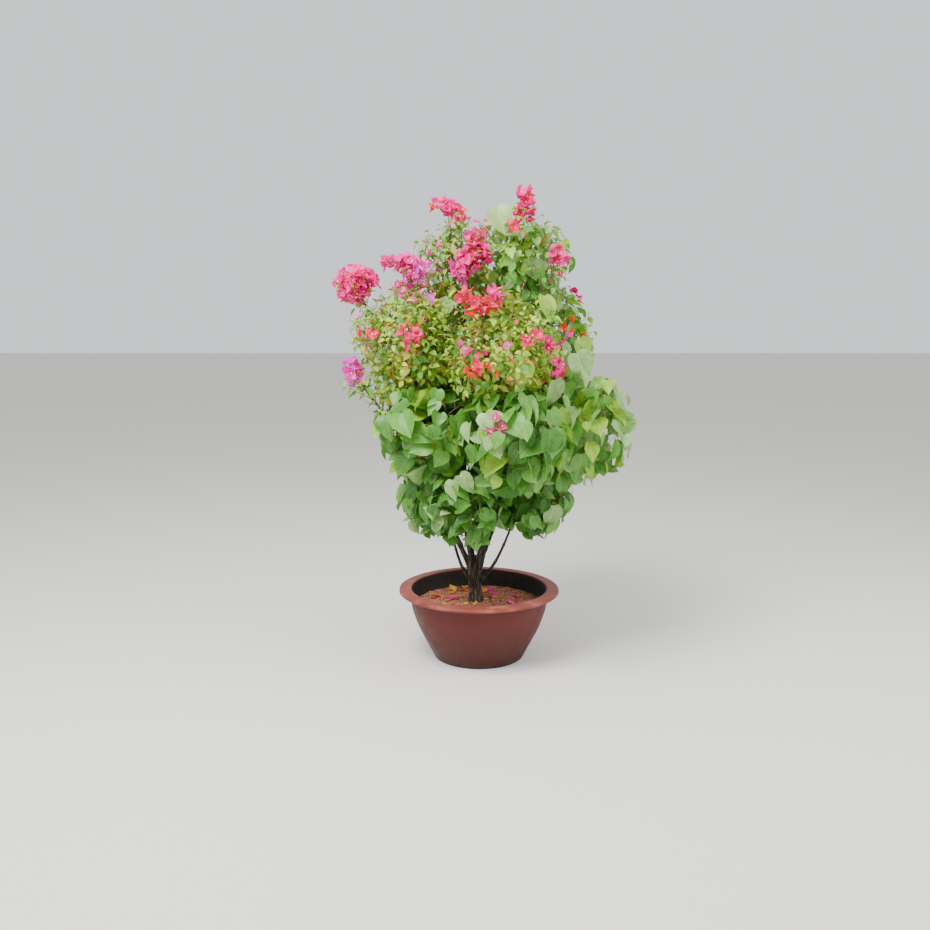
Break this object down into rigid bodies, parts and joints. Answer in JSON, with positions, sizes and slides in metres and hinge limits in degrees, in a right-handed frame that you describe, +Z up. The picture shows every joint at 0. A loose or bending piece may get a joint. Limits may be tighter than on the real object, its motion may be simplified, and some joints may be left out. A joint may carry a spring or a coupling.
{
  "type": "bougainvillea bush",
  "caption": "Bougainvillea bush with several stems, broad lower leaves, fine upper foliage and clusters of pink and red bracts on canes, in a wide shallow plastic pot of soil.",
  "frame": {"origin": "middle of the pot's flat underside, on the floor", "axes": "+Z up; the side seen in the picture faces -Y and its right is +X"},
  "size_m": [1.0648, 0.9268, 1.7284],
  "materials": {
    "pot_plastic": "weathered matte",
    "potting_soil": "rough and crumbly",
    "bark": "rough bark",
    "leaves_deep": "satin leaf",
    "leaves_mid": "satin leaf",
    "leaves_fresh": "satin leaf",
    "bracts_rose": "papery",
    "bracts_pink": "papery",
    "bracts_lilac": "papery",
    "bracts_crimson": "papery",
    "bracts_red": "papery"
  },
  "bodies": {
    "root": {"pot": "pot_plastic", "soil": "potting_soil", "trunk": "bark", "stem_1": "bark", "stem_2": "bark", "stem_3": "bark", "stem_4": "bark", "stem_5": "bark", "low_limb_1": "bark", "low_limb_2": "bark", "low_limb_3": "bark", "low_limb_4": "bark", "middle_limb_1": "bark", "middle_limb_2": "bark", "middle_limb_3": "bark", "middle_limb_4": "bark", "middle_limb_5": "bark", "crown_limb": "bark", "cane_left": "bark", "cane_left_top": "bark", "cane_left_low": "bark", "cane_centre": "bark", "cane_spire": "bark", "cane_top": "bark", "cane_front": "bark", "cane_right": "bark", "cane_back_right": "bark", "cane_back_left": "bark", "cane_back": "bark", "lower_foliage_1": "leaves_deep", "lower_foliage_2": "leaves_deep", "lower_foliage_3": "leaves_deep", "lower_foliage_4": "leaves_deep", "middle_foliage_1": "leaves_mid", "middle_foliage_2": "leaves_mid", "middle_foliage_3": "leaves_mid", "middle_foliage_4": "leaves_mid", "middle_foliage_5": "leaves_mid", "upper_foliage_1": "leaves_fresh", "upper_foliage_2": "leaves_fresh", "upper_foliage_3": "leaves_fresh", "upper_foliage_4": "leaves_fresh", "crown_foliage_1": "leaves_fresh", "crown_foliage_2": "leaves_fresh", "blossom_left": "bracts_rose", "blossom_left_top": "bracts_pink", "blossom_left_low": "bracts_lilac", "blossom_centre": "bracts_crimson", "blossom_spire": "bracts_crimson", "blossom_top": "bracts_red", "blossom_front": "bracts_red", "blossom_right": "bracts_rose", "blossom_back_right": "bracts_rose", "blossom_back_left": "bracts_pink", "blossom_back": "bracts_crimson"}
  },
  "joints": []
}
